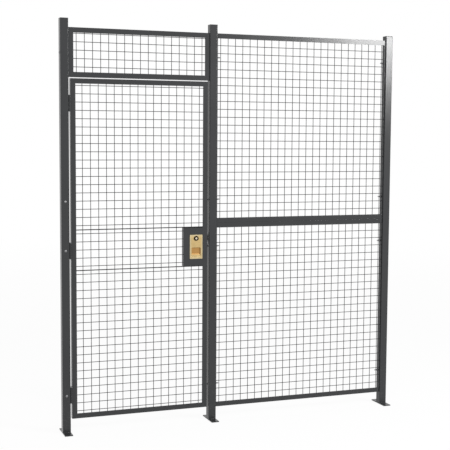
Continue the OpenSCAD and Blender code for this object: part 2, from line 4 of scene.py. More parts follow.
import bmesh
import bpy
from mathutils import Matrix, Vector

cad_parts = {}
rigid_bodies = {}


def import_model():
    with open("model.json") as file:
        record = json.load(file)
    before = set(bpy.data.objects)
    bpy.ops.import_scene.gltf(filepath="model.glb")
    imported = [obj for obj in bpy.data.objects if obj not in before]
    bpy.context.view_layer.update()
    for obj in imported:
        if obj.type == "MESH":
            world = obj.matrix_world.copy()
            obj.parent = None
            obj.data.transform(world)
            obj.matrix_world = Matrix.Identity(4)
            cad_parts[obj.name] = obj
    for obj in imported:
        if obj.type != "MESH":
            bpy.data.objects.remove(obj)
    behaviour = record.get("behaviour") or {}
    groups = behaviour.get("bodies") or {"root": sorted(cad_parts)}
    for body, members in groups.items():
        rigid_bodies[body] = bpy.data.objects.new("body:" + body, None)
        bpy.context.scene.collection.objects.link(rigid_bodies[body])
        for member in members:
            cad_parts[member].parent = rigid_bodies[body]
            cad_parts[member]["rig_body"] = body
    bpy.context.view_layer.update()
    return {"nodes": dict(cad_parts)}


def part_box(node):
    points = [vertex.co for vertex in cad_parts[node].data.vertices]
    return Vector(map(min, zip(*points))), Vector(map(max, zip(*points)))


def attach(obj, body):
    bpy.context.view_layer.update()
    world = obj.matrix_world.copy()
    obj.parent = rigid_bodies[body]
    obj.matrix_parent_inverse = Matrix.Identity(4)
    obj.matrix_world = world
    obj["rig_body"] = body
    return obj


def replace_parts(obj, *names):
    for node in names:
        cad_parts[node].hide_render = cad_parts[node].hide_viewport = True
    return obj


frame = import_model()

# ---------------------------------------------------------------------------
# Camera. It stands to the left of the partition at eye height, about 6.3 m in
# front of the wall, and looks some 20 degrees to the right and slightly down.
# ---------------------------------------------------------------------------
camera_place = (-2.4116, -6.2993, 1.8519)
yaw, pitch, roll = (math.radians(angle) for angle in (20.463, 4.827, 0.341))
forward = Vector((math.sin(yaw) * math.cos(pitch), math.cos(yaw) * math.cos(pitch), -math.sin(pitch)))
level = Vector((math.cos(yaw), -math.sin(yaw), 0))
upright = level.cross(forward)
camera_x = level * math.cos(roll) + upright * math.sin(roll)
camera_y = upright * math.cos(roll) - level * math.sin(roll)

camera = bpy.data.objects.new("camera", bpy.data.cameras.new("camera"))
camera.data.sensor_width = 36
camera.data.lens = 82.594
turn = Matrix((camera_x, camera_y, -forward)).transposed().to_4x4()
camera.matrix_world = Matrix.Translation(camera_place) @ turn
bpy.context.scene.collection.objects.link(camera)
bpy.context.scene.camera = camera
bpy.context.scene.view_settings.view_transform = "Standard"


# ---------------------------------------------------------------------------
# Studio. A white floor and white surroundings, one broad soft light high at the
# front left, and a smaller bright one at the right that glares in the coat near it.
# ---------------------------------------------------------------------------
class Signal:
    """One socket of a node tree. Sums on it add Math nodes, and node() adds any other node."""

    def __init__(self, tree, socket=None):
        self.tree, self.socket = tree, socket

    def node(self, kind, settings, inputs, output=0):
        made = self.tree.nodes.new(kind)
        for name, value in settings.items():
            setattr(made, name, value)
        for name, value in inputs.items():
            if isinstance(value, Signal):
                self.tree.links.new(value.socket, made.inputs[name])
            else:
                made.inputs[name].default_value = value
        return Signal(self.tree, made.outputs[output]) if made.outputs else None

    def math(self, operation, *values):
        return self.node("ShaderNodeMath", {"operation": operation}, dict(enumerate(values)))

    def __add__(self, other):
        return self.math("ADD", self, other)

    def __mul__(self, other):
        return self.math("MULTIPLY", self, other)

    def __gt__(self, other):
        return self.math("GREATER_THAN", self, other)

    __radd__, __rmul__ = __add__, __mul__


def seen_directly(tree):
    """1 where the camera, a reflection or glass sees the surface, and 0 where it only lights others."""
    camera_ray, glossy_ray, glass_ray = (
        Signal(tree).node("ShaderNodeLightPath", {}, {}, f"Is {ray} Ray")
        for ray in ("Camera", "Glossy", "Transmission"))
    return camera_ray.math("MAXIMUM", camera_ray.math("MAXIMUM", camera_ray, glossy_ray), glass_ray)


floor_half = 40
floor_glow = 0.93
floor_near, floor_far = 3.5, 12
floor_mesh = bpy.data.meshes.new("floor")
corners = [(-floor_half, -floor_half, 0), (floor_half, -floor_half, 0),
           (floor_half, floor_half, 0), (-floor_half, floor_half, 0)]
floor_mesh.from_pydata(corners, [], [(0, 1, 2, 3)])
floor = bpy.data.objects.new("floor", floor_mesh)
bpy.context.scene.collection.objects.link(floor)

floor_white = bpy.data.materials.new("floor_white")
floor_white.use_nodes = True
floor_white.node_tree.nodes.clear()
place = Signal(floor_white.node_tree).node("ShaderNodeTexCoord", {}, {}, "Object")
reach = place.node("ShaderNodeVectorMath", {"operation": "LENGTH"}, {0: place}, "Value")
share = place.node("ShaderNodeMapRange", {}, {
    "Value": reach, "From Min": floor_near, "From Max": floor_far, "To Min": floor_glow, "To Max": 1})
matt = place.node("ShaderNodeBsdfDiffuse", {}, {"Color": (0.9, 0.9, 0.9, 1)})
glow = place.node("ShaderNodeEmission", {}, {"Color": (1, 1, 1, 1), "Strength": 1})
mixed = place.node("ShaderNodeMixShader", {}, {0: seen_directly(place.tree) * share, 1: matt, 2: glow})
place.node("ShaderNodeOutputMaterial", {}, {"Surface": mixed})
floor_mesh.materials.append(floor_white)

surround_light = 0.62
world = bpy.data.worlds.new("studio")
bpy.context.scene.world = world
world.use_nodes = True
world.node_tree.nodes.clear()
strength = seen_directly(world.node_tree) * (1 - surround_light) + surround_light
sky = strength.node("ShaderNodeBackground", {}, {"Color": (1, 1, 1, 1), "Strength": strength})
sky.node("ShaderNodeOutputWorld", {}, {"Surface": sky})

# Each light: name, place, the point that it faces, width, height and watts
for name, spot, target, width, height, watts in (
    ("soft_front", (-2.8, -5.8, 5.2), (0, 0, 0.8), 4.0, 3.0, 195),
    ("glare_right", (3.6, -4.4, 3.2), (0.9, 0, 2.3), 1.3, 1.2, 215),
):
    lamp = bpy.data.lights.new(name, "AREA")
    lamp.shape, lamp.size, lamp.size_y, lamp.energy = "RECTANGLE", width, height, watts
    light = bpy.data.objects.new(name, lamp)
    aim = (Vector(target) - Vector(spot)).to_track_quat("-Z", "Y")
    light.matrix_world = Matrix.Translation(spot) @ aim.to_matrix().to_4x4()
    bpy.context.scene.collection.objects.link(light)


# ---------------------------------------------------------------------------
# Posts. Three 2 in square steel tubes with round corners, punched for the
# through-bolts and coated with charcoal powder.
# ---------------------------------------------------------------------------
def new_finish(name):
    """A material, and the coordinates of the piece in its tree."""
    finish = bpy.data.materials.new(name)
    finish.use_nodes = True
    return finish, Signal(finish.node_tree).node("ShaderNodeTexCoord", {}, {}, "Object")


def along(place, axis):
    return place.node("ShaderNodeSeparateXYZ", {}, {"Vector": place}, axis)


def stretched(place, x, y, z):
    return place.node("ShaderNodeMapping", {}, {"Vector": place, "Scale": (x, y, z)})


def noise(place, scale, detail):
    return place.node("ShaderNodeTexNoise", {}, {"Vector": place, "Scale": scale, "Detail": detail})


def shaded(colour, tone):
    """A colour made lighter or darker by a tone that varies over the surface."""
    return tone.node("ShaderNodeVectorMath", {"operation": "SCALE"}, {0: colour, "Scale": tone})


def blended(mask, first, second):
    """The first colour where the mask is 0 and the second where it is 1."""
    return mask.node("ShaderNodeMix", {"data_type": "RGBA"}, {0: mask, 6: first, 7: second}, 2)


def relief(height, strength, depth):
    return height.node("ShaderNodeBump", {}, {"Strength": strength, "Distance": depth, "Height": height})


def surface(finish, fixed, colour, roughness, normal):
    """Joins what varies over a material to its shader, and sets what doesn't."""
    shader = finish.node_tree.nodes["Principled BSDF"]
    for label, value in fixed.items():
        shader.inputs[label].default_value = value
    for label, signal in (("Base Color", colour), ("Roughness", roughness), ("Normal", normal)):
        signal.tree.links.new(signal.socket, shader.inputs[label])
    return finish


scuffs_up_to = 0.45


def powder_coat(name, colour, roughness, peel):
    """Semi-gloss powder coat: an orange-peel skin, a faintly cloudy tone, and scuffs near the floor."""
    finish, place = new_finish(name)
    low = place.node("ShaderNodeMapRange", {}, {
        "Value": along(place, "Z"), "From Min": scuffs_up_to, "From Max": 0.0})
    scuff = (noise(stretched(place, 60, 60, 420), 1, 4) > 0.62) * low * 0.2
    cloud = noise(place, 3.5, 3)
    clean = shaded(colour, cloud * 0.2 + noise(place, 900, 2) * 0.06 + 0.87)
    worn = blended(scuff, clean, (0.15, 0.15, 0.145, 1))
    return surface(finish, {"Specular IOR Level": 0.28}, worn, cloud * 0.1 + roughness,
                   relief(noise(place, 420, 2), peel, depth=0.0004))


def plain_piece(source, name, body, slot, *nodes):
    """Bakes an object's modifiers into one plain mesh that rides on a body and stands for CAD nodes."""
    bpy.context.view_layer.update()
    baked = bpy.data.meshes.new_from_object(source.evaluated_get(bpy.context.evaluated_depsgraph_get()))
    piece = bpy.data.objects.new(name, baked)
    bpy.context.scene.collection.objects.link(piece)
    bpy.data.objects.remove(source)
    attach(piece, body)
    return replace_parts(piece, *nodes)


def body_of(node):
    return frame["nodes"][node]["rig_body"]


def ease(source, edge):
    """Rounds the sharp edges of an object, and keeps the shading of its broad faces flat."""
    source.data.shade_smooth()
    bevel = source.modifiers.new("eased", "BEVEL")
    bevel.width, bevel.segments, bevel.angle_limit = edge, 2, math.radians(40)
    source.modifiers.new("flat", "WEIGHTED_NORMAL").weight = 100


def eased_piece(node, name, slot, finish, edge):
    """A copy of a CAD solid with its sharp edges rounded, as rolled, drawn or folded metal has them."""
    source = bpy.data.objects.new(name + "_source", bpy.data.meshes.new(name))
    bpy.context.scene.collection.objects.link(source)
    solid = bmesh.new()
    solid.from_mesh(frame["nodes"][node].data)
    bmesh.ops.remove_doubles(solid, verts=solid.verts, dist=1e-6)
    bmesh.ops.dissolve_limit(solid, angle_limit=math.radians(0.5), verts=solid.verts, edges=solid.edges)
    solid.to_mesh(source.data)
    solid.free()
    source.data.materials.clear()
    source.data.materials.append(finish)
    ease(source, edge)
    return plain_piece(source, name, body_of(node), slot, node)


coat = powder_coat("charcoal_coat", (0.029, 0.03, 0.0315), roughness=0.17, peel=0.12)
sides = ("left", "middle", "right")
for side in sides:
    eased_piece(f"{side}_post", f"{side}_post_tube", "charcoal_coat", coat, edge=0.0004)


# ---------------------------------------------------------------------------
# Feet. A flat steel bar under each post, across the wall, with two holes for
# floor anchors; the post is fillet-welded to it at the front and the back.
# ---------------------------------------------------------------------------
def node_tree(name, **inputs):
    """An empty geometry tree with a mesh in, the named inputs, and a mesh out."""
    tree = bpy.data.node_groups.new(name, "GeometryNodeTree")
    tree.interface.new_socket("Geometry", in_out="INPUT", socket_type="NodeSocketGeometry")
    for label, kind in inputs.items():
        tree.interface.new_socket(label, in_out="INPUT", socket_type="NodeSocket" + kind)
    tree.interface.new_socket("Geometry", in_out="OUTPUT", socket_type="NodeSocketGeometry")
    entry = tree.nodes.new("NodeGroupInput")
    return tree, {socket.name: Signal(tree, socket) for socket in entry.outputs if socket.name}


def close_tree(shape, finish):
    """Ends a geometry tree: real faces instead of instances, with their finish."""
    real = shape.node("GeometryNodeRealizeInstances", {}, {0: shape})
    coated = shape.node("GeometryNodeSetMaterial", {}, {"Geometry": real, "Material": finish})
    shape.node("NodeGroupOutput", {}, {0: coated})


def seed_mesh(points, edges=()):
    seed = bpy.data.meshes.new("seed")
    seed.from_pydata(points, edges, [])
    return seed


def pairs(points, start=0):
    """An edge for each two points."""
    return [(start + at, start + at + 1) for at in range(0, len(points), 2)]


def grown_piece(tree, seed, name, body, slot, nodes=(), **values):
    """Runs a geometry tree on the points and edges of a mesh, and bakes what it makes into a piece."""
    source = bpy.data.objects.new(name + "_source", seed)
    bpy.context.scene.collection.objects.link(source)
    modifier = source.modifiers.new("grown", "NODES")
    modifier.node_group = tree
    for socket in tree.interface.items_tree:
        if socket.in_out == "INPUT" and socket.name in values:
            modifier[socket.identifier] = values[socket.name]
    return plain_piece(source, name, body, slot, *nodes)


# A weld run: a bead along each edge, with the ripples that the torch leaves
weld_run, given = node_tree("weld_run", Radius="Float", Ripple="Float", Finish="Material")
line = given["Geometry"].node("GeometryNodeMeshToCurve", {}, {0: given["Geometry"]})
line = line.node("GeometryNodeResampleCurve", {"mode": "LENGTH"}, {
    "Curve": line, "Length": given["Ripple"] * 0.25})
run = line.node("GeometryNodeSplineParameter", {}, {}, "Length")
wave = run.math("SINE", run.math("DIVIDE", run, given["Ripple"]) * math.tau)
ring = line.node("GeometryNodeCurvePrimitiveCircle", {}, {"Resolution": 8, "Radius": given["Radius"]})
bead = line.node("GeometryNodeCurveToMesh", {}, {
    "Curve": line, "Profile Curve": ring, "Scale": wave * 0.14 + 1, "Fill Caps": True})
close_tree(bead, given["Finish"])


def weld_beads(points, name, body, radius):
    """A weld bead between each two points, coated with what it joins."""
    grown_piece(weld_run, seed_mesh(points, pairs(points)), name, body, "charcoal_coat",
                Radius=radius, Ripple=radius * 1.3, Finish=coat)


weld_end = 0.004
points = []
for side in sides:
    eased_piece(f"{side}_foot_plate", f"{side}_foot", "charcoal_coat", coat, edge=0.0008)
    low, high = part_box(f"{side}_post")
    points += [(x, y, low.z) for y in (low.y, high.y) for x in (low.x + weld_end, high.x - weld_end)]
weld_beads(points, "foot_welds", "frame", radius=0.0026)


# ---------------------------------------------------------------------------
# Post caps. Matte black moulded plastic plugs that close the post tops.
# ---------------------------------------------------------------------------
cap_black, place = new_finish("black_plastic")
grain = noise(place, 1400, 2)
surface(cap_black, {}, shaded((0.012, 0.012, 0.013), noise(place, 30, 2) * 0.5 + 0.75),
        grain * 0.15 + 0.45, relief(grain, 0.25, depth=0.0003))
for side in sides:
    eased_piece(f"{side}_post_cap", f"{side}_cap", "black_plastic", cap_black, edge=0.0009)


# ---------------------------------------------------------------------------
# Transom frame, above the door. Four bars of rolled steel angle with mitred,
# ground-flush corners, welded on the inside and coated like the posts.
# ---------------------------------------------------------------------------
bar_edge = 0.0007
angle_t = 0.0032


def frame_bars(part, side_t):
    """The four bars of a frame, and welds in its inner corners, from behind the face to the back."""
    bars = [f"{part}_{bar}" for bar in ("top_rail", "bottom_rail")]
    bars += [node for node in sorted(frame["nodes"]) if node.startswith(part) and node.endswith("_stile")]
    boxes = [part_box(node) for node in bars]
    for node in bars:
        eased_piece(node, node + "_bar", "charcoal_coat", coat, bar_edge)
    low, high = (Vector(pick(box[end][i] for box in boxes) for i in range(3))
                 for pick, end in ((min, 0), (max, 1)))
    points = [(x, y, z) for x in (low.x + side_t, high.x - side_t)
              for z in (low.z + angle_t, high.z - angle_t)
              for y in (low.y + 2 * angle_t, high.y - angle_t)]
    weld_beads(points, f"{part}_corner_welds", body_of(bars[0]), radius=0.0019)


frame_bars("transom", angle_t)


# ---------------------------------------------------------------------------
# Panel frames. Each of the two stacked panels has angle rails at the top and
# the bottom, welded between flat side bars that bolt to the posts.
# ---------------------------------------------------------------------------
flat_t = 0.0048
frame_bars("upper_panel", flat_t)
frame_bars("lower_panel", flat_t)


# ---------------------------------------------------------------------------
# Wire mesh of the transom and the two panels. Drawn steel wires on a 2 in
# pitch, the rows behind the uprights, resistance-welded at every crossing and
# coated after welding.
# ---------------------------------------------------------------------------
def solids_of(node):
    """The lowest and highest corner of each separate solid of a CAD node, in order of height."""
    whole = bmesh.new()
    whole.from_mesh(frame["nodes"][node].data)
    bmesh.ops.remove_doubles(whole, verts=whole.verts, dist=1e-6)
    seen, found = set(), []
    for first in whole.verts:
        if first in seen:
            continue
        seen.add(first)
        solid, front = [], [first]
        while front:
            vert = front.pop()
            solid.append(vert.co.copy())
            touching = {edge.other_vert(vert) for edge in vert.link_edges} - seen
            seen |= touching
            front += touching
        found.append([Vector(pick(co[i] for co in solid) for i in range(3)) for pick in (min, max)])
    whole.free()
    return sorted(found, key=lambda box: (round(box[0].z, 5), round(box[0].x, 5)))


# Drawn wires: a round wire along each edge; a point with no edge is a weld that swells the crossing
drawn_wires, given = node_tree("drawn_wires", Diameter="Float", Weld_Size="Vector", Finish="Material")
line = given["Geometry"].node("GeometryNodeMeshToCurve", {}, {0: given["Geometry"]})
ring = line.node("GeometryNodeCurvePrimitiveCircle", {}, {
    "Resolution": 12, "Radius": given["Diameter"] * 0.5})
wire = line.node("GeometryNodeCurveToMesh", {}, {"Curve": line, "Profile Curve": ring, "Fill Caps": True})
edges_at = line.node("GeometryNodeInputMeshVertexNeighbors", {}, {})
alone = edges_at.node("FunctionNodeCompare", {"data_type": "INT", "operation": "EQUAL"}, {
    2: edges_at, 3: 0})
blob = line.node("GeometryNodeMeshUVSphere", {}, {"Segments": 8, "Rings": 5, "Radius": 1.0})
blob = blob.node("GeometryNodeSetShadeSmooth", {}, {"Geometry": blob})
welds = line.node("GeometryNodeInstanceOnPoints", {}, {
    "Points": given["Geometry"], "Selection": alone, "Instance": blob, "Scale": given["Weld_Size"]})
both = line.node("GeometryNodeJoinGeometry", {}, {0: wire})
both.tree.links.new(welds.socket, both.socket.node.inputs[0])
close_tree(both, given["Finish"])

wire_coat = powder_coat("charcoal_wire", (0.02, 0.0205, 0.022), roughness=0.3, peel=0.1)
# The half width, half depth and half height of a weld, in wire diameters
weld_shares = (0.72, 0.42, 0.72)


def welded_mesh(node, name):
    """The wires of a CAD mesh node, with a weld at each crossing."""
    boxes = [(low, high, (low + high) / 2) for low, high in solids_of(node)]
    uprights = [box for box in boxes if box[1].z - box[0].z > box[1].x - box[0].x]
    rows = [box for box in boxes if box[1].z - box[0].z < box[1].x - box[0].x]
    ends = [(middle.x, middle.y, z) for low, high, middle in uprights for z in (low.z, high.z)]
    ends += [(x, middle.y, middle.z) for low, high, middle in rows for x in (low.x, high.x)]
    between = (uprights[0][2].y + rows[0][2].y) / 2
    crossings = [(upright.x, between, row.z) for low, high, upright in uprights for left, right, row in rows
                 if left.x < upright.x < right.x and low.z < row.z < high.z]
    diameter = uprights[0][1].x - uprights[0][0].x
    weld_size = tuple(diameter * share for share in weld_shares)
    seed = seed_mesh(ends + crossings, pairs(ends))
    grown_piece(drawn_wires, seed, name, body_of(node), "charcoal_wire", (node,),
                Diameter=diameter, Weld_Size=weld_size, Finish=wire_coat)


for part in ("transom", "upper_panel", "lower_panel"):
    welded_mesh(f"{part}_mesh", f"{part}_wires")


# ---------------------------------------------------------------------------
# Through-bolts, nuts and hole plugs. Zinc-plated round-headed bolts with hex
# nuts hold the panels and the transom to the posts, and three domed plugs
# close the spare holes in the front of the left post.
# ---------------------------------------------------------------------------
def worn_metal(name, colour, roughness, spangle, scratch):
    """Bare or plated metal: cloudy patches of tone, and fine marks that make it rougher."""
    finish, place = new_finish(name)
    patch = along(place.node("ShaderNodeTexVoronoi", {}, {"Vector": place, "Scale": 260}, "Color"), "X")
    cloud = noise(place, 90, 3)
    marks = noise(place, 1600, 2)
    tone = patch * spangle + cloud * 0.25 + (0.88 - spangle / 2)
    return surface(finish, {"Metallic": 1}, shaded(colour, tone),
                   cloud * 0.2 + marks * 0.1 + (roughness - 0.15), relief(marks, scratch, depth=0.0002))


def turned(name, profile, sliding=(), turns=24, outline=None):
    """A part turned about Z from (radius, height) points, top first. The heights of the sliding points
    count from its far end. An outline may cut it to another section, such as a hexagon."""
    shape = bmesh.new()
    slide = shape.verts.layers.float.new("slide")
    rings = []
    for at, (radius, height) in enumerate([*profile, *sliding]):
        count = turns if radius > 0 else 1
        ring = []
        for k in range(count):
            angle = math.tau * k / turns
            r, z = outline(radius, height, angle) if outline else (radius, height)
            vert = shape.verts.new((r * math.cos(angle), r * math.sin(angle), z))
            vert[slide] = at >= len(profile)
            ring.append(vert)
        rings.append(ring * (turns // count))
    if profile[0][0] > 0:
        rings.append(rings[0])
    for upper, lower in zip(rings, rings[1:]):
        for k in range(turns):
            shape.faces.new(tuple(dict.fromkeys((upper[k - 1], lower[k - 1], lower[k], upper[k]))))
    part = bpy.data.objects.new(name, bpy.data.meshes.new(name))
    for face in shape.faces:
        face.smooth = True
    for edge in shape.edges:
        edge.smooth = edge.calc_face_angle(math.pi) < math.radians(25)
    shape.to_mesh(part.data)
    shape.free()
    return part


# Set out: a part at each point, its Z along the point's facing and turned about it at random, up to
# Spin; the sliding end of the part moves back by the point's reach
set_out, given = node_tree("set_out", Part="Object", Spin="Float", Seed="Int", Finish="Material")
facing, reach, slide = (
    given["Part"].node("GeometryNodeInputNamedAttribute", {"data_type": kind}, {"Name": label})
    for label, kind in (("facing", "FLOAT_VECTOR"), ("reach", "FLOAT"), ("slide", "FLOAT")))
part = facing.node("GeometryNodeObjectInfo", {}, {"Object": given["Part"], "As Instance": True}, "Geometry")
spin = facing.node("FunctionNodeRandomValue", {"data_type": "FLOAT"},
                   {2: 0.0, 3: given["Spin"], "Seed": given["Seed"]}, 1)
spin = spin.node("FunctionNodeAxisAngleToRotation", {}, {"Axis": (0, 0, 1), "Angle": spin})
turn = facing.node("FunctionNodeAlignRotationToVector", {"axis": "Z"}, {"Vector": facing})
turn = turn.node("FunctionNodeRotateRotation", {"rotation_space": "LOCAL"}, {0: turn, 1: spin})
parts = part.node("GeometryNodeInstanceOnPoints", {}, {
    "Points": given["Geometry"], "Instance": part, "Rotation": turn})
parts = parts.node("GeometryNodeRealizeInstances", {}, {0: parts})
back = facing.node("ShaderNodeVectorMath", {"operation": "SCALE"}, {0: facing, "Scale": reach * slide * -1})
parts = parts.node("GeometryNodeSetPosition", {}, {"Geometry": parts, "Offset": back})
close_tree(parts, given["Finish"])


def dome(width, height):
    """The profile of a low round head, from its top at the origin down to its rim."""
    ball = (width * width / 4 + height * height) / (2 * height)
    rounds = 6
    angles = [math.asin(width / 2 / ball) * k / rounds for k in range(rounds + 1)]
    return [(ball * math.sin(angle), ball * (math.cos(angle) - 1)) for angle in angles]


def thread(radius, pitch, crests):
    """The profile of a thread, from its top down to the chamfered end of the shank at 0."""
    root, tip = 0.86, 0.8
    marks = [(radius * share, (crests - k - lead) * pitch) for k in range(crests)
             for share, lead in ((1, -0.5), (root, 0))]
    return [*marks, (radius * tip, 0), (0, 0)]


def set_parts(part, node, name, slot, finish, outward, spin=0.0):
    """Sets a part on each separate solid of a CAD node, its top at the end that looks outward."""
    points, facing, reach = [], [], []
    for low, high in solids_of(node):
        middle = (low + high) / 2
        way = Vector(outward(middle))
        length = abs((high - low).dot(way))
        points.append(middle + way * length / 2)
        facing.extend(way)
        reach.append(length)
    seed = seed_mesh(points)
    seed.attributes.new("facing", "FLOAT_VECTOR", "POINT").data.foreach_set("vector", facing)
    seed.attributes.new("reach", "FLOAT", "POINT").data.foreach_set("value", reach)
    grown_piece(set_out, seed, name, body_of(node), slot, (node,),
                Part=part, Spin=spin, Seed=len(points), Finish=finish)


dull_zinc = worn_metal("dull_zinc", (0.22, 0.22, 0.225), roughness=0.5, spangle=0.1, scratch=0.2)
shank = 0.00395
bolt_pitch, bolt_crests = 0.00125, 22
bolt_head_w, bolt_head_h = 0.0175, 0.0042
nut_flats, nut_h = 0.0127, 0.0067


def hexagon(radius, height, angle):
    """Cuts what reaches past a nut's flats to a hexagon, its corners chamfered at both ends."""
    flat = nut_flats / 2
    if radius < flat:
        return radius, height
    corner = flat / math.cos((angle + math.pi / 6) % (math.pi / 3) - math.pi / 6)
    drop = (corner - flat) * math.tan(math.radians(30))
    return corner, height - drop if height > -nut_h / 2 else height + drop


def nut_side(middle):
    """Where the nut is from its post: at the left of the right post, and at the right of the others."""
    return -1 if middle.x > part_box("right_post")[0].x - bolt_head_w else 1


round_bolt = turned("round_bolt", [*dome(bolt_head_w, bolt_head_h), (shank, -bolt_head_h)],
                    thread(shank, bolt_pitch, bolt_crests))
set_parts(round_bolt, "frame_bolts", "frame_bolt_set", "zinc_steel", dull_zinc,
          lambda middle: (-nut_side(middle), 0, 0))

washer_r, chamfer = nut_flats * 0.47, 0.0004
hex_nut = turned("hex_nut", [
    (shank, -chamfer), (shank + chamfer, 0), (washer_r, 0), (nut_flats, 0),
    (nut_flats, -nut_h), (washer_r, -nut_h), (shank, -nut_h)], turns=36, outline=hexagon)
set_parts(hex_nut, "frame_nuts", "frame_nut_set", "zinc_steel", dull_zinc,
          lambda middle: (nut_side(middle), 0, 0), spin=math.tau)

plug_w, plug_h, plug_chamfer = 0.016, 0.0026, 0.001
hole_plug = turned("hole_plug", [*dome(plug_w, plug_h), (shank, -plug_h)], [
    (shank, plug_chamfer), (shank - plug_chamfer, 0), (0, 0)])
set_parts(hole_plug, "left_post_hole_plugs", "hole_plug_set", "zinc_steel", dull_zinc,
          lambda middle: (0, -1, 0))


# ---------------------------------------------------------------------------
# Door frame. The same mitred angle as the transom, one wire mesh, and two
# round rods across it that the lock box is welded between.
# ---------------------------------------------------------------------------
frame_bars("door", angle_t)
welded_mesh("door_mesh", "door_wires")

points = []
box_low, box_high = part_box("lock_box")
stitch = 0.02
for node in ("door_upper_rod", "door_lower_rod"):
    low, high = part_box(node)
    middle, radius = (low + high) / 2, (high.z - low.z) / 2
    rod = seed_mesh([(low.x, middle.y, middle.z), (high.x, middle.y, middle.z)], [(0, 1)])
    grown_piece(drawn_wires, rod, node + "_bar", body_of(node), "charcoal_wire", (node,),
                Diameter=2 * radius, Weld_Size=(0, 0, 0), Finish=wire_coat)
    # Beads beside both ends of the rod, and three stitches along the box behind it
    points += [(x, y, middle.z + rise) for x in (low.x, high.x) for y in (low.y, high.y)
               for rise in (-radius / 2, radius / 2)]
    seam = min((box_low.z, box_high.z), key=lambda z: abs(z - middle.z))
    starts = (box_low.x + stitch / 2, (box_low.x + box_high.x - stitch) / 2, box_high.x - 1.5 * stitch)
    points += [(x + run, high.y - radius / 3, seam) for x in starts for run in (0, stitch)]
weld_beads(points, "rod_welds", "door", radius=0.0014)


# ---------------------------------------------------------------------------
# Hinges. Three five-knuckle butt hinges of 3 mm steel between the left post
# and the door, coated like the frame, with plated pins and slotted screws.
# ---------------------------------------------------------------------------
zinc = worn_metal("zinc_steel", (0.56, 0.57, 0.59), roughness=0.36, spangle=0.16, scratch=0.25)
for hinge in ("top", "middle", "bottom"):
    for leaf in ("post_leaf", "door_leaf"):
        eased_piece(f"{hinge}_hinge_{leaf}", f"{hinge}_{leaf}", "charcoal_coat", coat, edge=0.0004)
    eased_piece(f"{hinge}_hinge_pin", f"{hinge}_pin", "zinc_steel", zinc, edge=0.0002)

screw_r, screw_head_r, screw_rim = 0.0025, 0.00475, 0.0002
screw_pitch, screw_crests = 0.0008, 4
slot_w, slot_d = 0.001, 0.001


def slotted(part, length, width, depth):
    """Cuts a slot across the top of a part."""
    knife = bmesh.new()
    bmesh.ops.create_cube(knife, size=1, matrix=Matrix.Diagonal((width, length, 2 * depth, 1)))
    cutter = bpy.data.objects.new("cutter", bpy.data.meshes.new("cutter"))
    knife.to_mesh(cutter.data)
    knife.free()
    for thing in (part, cutter):
        bpy.context.scene.collection.objects.link(thing)
    cut = part.modifiers.new("cut", "BOOLEAN")
    cut.operation, cut.solver, cut.object = "DIFFERENCE", "EXACT", cutter
    bpy.context.view_layer.update()
    part.data = bpy.data.meshes.new_from_object(part.evaluated_get(bpy.context.evaluated_depsgraph_get()))
    part.modifiers.clear()
    bpy.context.scene.collection.objects.unlink(part)
    bpy.data.objects.remove(cutter)
    return part


def add_part(first, second):
    """Adds the mesh of a second part to the first."""
    whole = bmesh.new()
    for part in (first, second):
        whole.from_mesh(part.data)
    whole.to_mesh(first.data)
    whole.free()


# The head is slotted by itself, and the shank starts inside it, below the slot
neck, shank_top = screw_r - screw_head_r - screw_rim, -1.5 * slot_d
screw_head = turned("screw_head", [
    (0, 0), (screw_head_r, 0), (screw_head_r, -screw_rim), (screw_r, neck), (0, neck)])
flat_screw = turned("flat_screw", [(0, shank_top), (screw_r, shank_top)],
                    thread(screw_r, screw_pitch, screw_crests))
add_part(flat_screw, slotted(screw_head, 3 * screw_head_r, slot_w, slot_d))


def set_screws(place, way):
    """Sets the countersunk screws of one place, their heads to one side and their slots at random."""
    set_parts(flat_screw, f"{place}_screws", f"{place}_screw_set", "zinc_steel", zinc,
              lambda middle: way, spin=math.tau)


set_screws("hinge_post", (1, 0, 0))
set_screws("hinge_door", (-1, 0, 0))


# ---------------------------------------------------------------------------
# Lock box. Folded and welded sheet steel between the rods, coated with the
# door, and closed at the back by a cover with four countersunk screws.
# ---------------------------------------------------------------------------
eased_piece("lock_box", "lock_box_shell", "charcoal_coat", coat, edge=0.001)
eased_piece("lock_box_cover", "lock_box_back", "charcoal_coat", coat, edge=0.0006)
set_screws("cover", (0, 1, 0))


# ---------------------------------------------------------------------------
# Lock face plate. Satin brass sheet with a finger pull pressed into it below
# the key: a cup whose floor slopes out to its lower edge.
# ---------------------------------------------------------------------------
sheet_t = 0.0015
plate_corner, sheet_edge = 0.003, 0.0004
lip = 0.002
pull_half_w, pull_half_h, pull_corner = 0.0317, 0.0327, 0.006
pull_drop = 0.0365
cup_depth = 0.0087
floor_turn, floor_bend = -0.0103, 0.005
# Depths into the cup at which its painted shade is full, and where the darker, redder painted shade starts
# and is full
cup_shade_full = 0.0012
deep_shade_start, deep_shade_full = 0.0054, 0.0084
rubbed_from_x, rubbed_from_z = 0.028, 0.06
key_hole, key_hole_sides = 0.0131, 48

low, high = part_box("lock_face_plate")
centre = Vector(((low.x + high.x) / 2, low.y, (low.z + high.z) / 2))
key_low, key_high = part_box("key_cylinder")
key_rise = (key_low.z + key_high.z) / 2 - centre.z


def round_ring(half_w, half_h, radius, heights=()):
    """Places clockwise round a rectangle with round corners, and on its sides at the given heights."""
    across, up = half_w - radius, half_h - radius
    angles = [math.radians(15 * k) for k in range(7)]
    right = [(across + radius * math.sin(angle), up + radius * math.cos(angle)) for angle in angles]
    right += [(half_w, height) for height in heights]
    right += [(across + radius * math.cos(angle), -up - radius * math.sin(angle)) for angle in angles]
    return right + [(-x, z) for x, z in reversed(right)]


